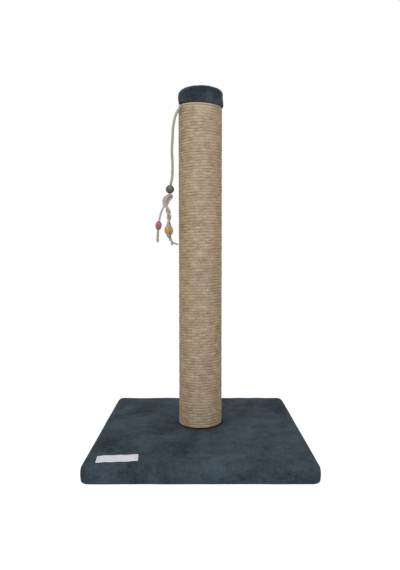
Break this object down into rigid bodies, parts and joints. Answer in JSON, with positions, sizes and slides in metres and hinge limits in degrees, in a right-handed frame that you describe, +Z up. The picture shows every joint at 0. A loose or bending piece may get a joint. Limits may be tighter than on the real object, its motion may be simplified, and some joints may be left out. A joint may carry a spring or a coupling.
{
  "type": "cat scratching post",
  "caption": "Floor-standing cat scratching post: a sisal-wound column with a plush cap on a square plush-covered base, with a beaded cord toy hanging from under the cap.",
  "frame": {"origin": "on the floor under the middle of the base", "axes": "+Z up along the post, -Y towards the front, where the sewn tag is; the post stands 16.5 mm behind the middle"},
  "size_m": [0.4, 0.4, 0.7037],
  "materials": {
    "board": "raw MDF",
    "base_plush": "short-pile plush",
    "tag": "woven",
    "cardboard": "raw",
    "zinc_steel": "zinc plated",
    "sisal": "twisted fibre",
    "cap_plush": "short-pile plush",
    "cord": "twisted cotton",
    "tail_cord": "twisted cotton",
    "green_bead": "painted satin",
    "red_bead": "painted satin",
    "orange_bead": "painted satin",
    "olive_bead": "painted satin"
  },
  "bodies": {
    "stand": {"base_board": "board", "base_cover": "base_plush", "woven_tag": "tag", "base_bolt": "zinc_steel", "bolt_washer": "zinc_steel", "t_nut": "zinc_steel", "lower_plug": "board", "upper_plug": "board", "post_tube": "cardboard", "plush_cap": "cap_plush", "rope_bottom_turns": "sisal", "rope_middle": "sisal", "rope_top_turns": "sisal", "toy_tie": "cord"},
    "toy_upper": {"toy_cord_top": "cord"},
    "toy_lower": {"toy_cord": "cord", "toy_knot": "tail_cord"},
    "green_bead": {"green_bead": "green_bead"},
    "red_tail": {"red_tail_cord": "tail_cord", "red_tail_knot": "tail_cord"},
    "red_bead": {"red_bead": "red_bead"},
    "twin_tail": {"orange_tail_cord": "tail_cord", "olive_tail_cord": "tail_cord", "tails_knot": "tail_cord"},
    "orange_bead": {"orange_bead": "orange_bead"},
    "olive_bead": {"olive_bead": "olive_bead"}
  },
  "joints": [
    {"name": "toy_swing_out", "type": "hinge", "parent": "stand", "child": "toy_upper", "pos_m": [-0.03925, -0.00616, 0.66526], "axis": [-0.5, 0.866, 0], "range_deg": [0, 75]},
    {"name": "toy_swing_side", "type": "hinge", "parent": "toy_upper", "child": "toy_lower", "pos_m": [-0.04869, -0.01161, 0.64676], "axis": [-0.866, -0.5, 0], "range_deg": [-50, 50]},
    {"name": "green_bead_spin", "type": "hinge", "parent": "toy_lower", "child": "green_bead", "pos_m": [-0.05925, -0.01771, 0.50556], "axis": [-0.0907, -0.0523, -0.9945], "continuous": true},
    {"name": "red_tail_swing", "type": "hinge", "parent": "toy_lower", "child": "red_tail", "pos_m": [-0.07094, -0.02446, 0.47176], "axis": [-0.866, -0.5, 0], "range_deg": [-45, 45]},
    {"name": "red_bead_spin", "type": "hinge", "parent": "red_tail", "child": "red_bead", "pos_m": [-0.08082, -0.03016, 0.43456], "axis": [-0.0983, -0.0568, -0.9935], "continuous": true},
    {"name": "twin_tail_swing", "type": "hinge", "parent": "toy_lower", "child": "twin_tail", "pos_m": [-0.0654, -0.02126, 0.47176], "axis": [-0.866, -0.5, 0], "range_deg": [-45, 45]},
    {"name": "orange_bead_spin", "type": "hinge", "parent": "twin_tail", "child": "orange_bead", "pos_m": [-0.06384, -0.02497, 0.42606], "axis": [0, 0, -1], "continuous": true},
    {"name": "olive_bead_spin", "type": "hinge", "parent": "twin_tail", "child": "olive_bead", "pos_m": [-0.05944, -0.0132, 0.42586], "axis": [0, 0, -1], "continuous": true}
  ]
}
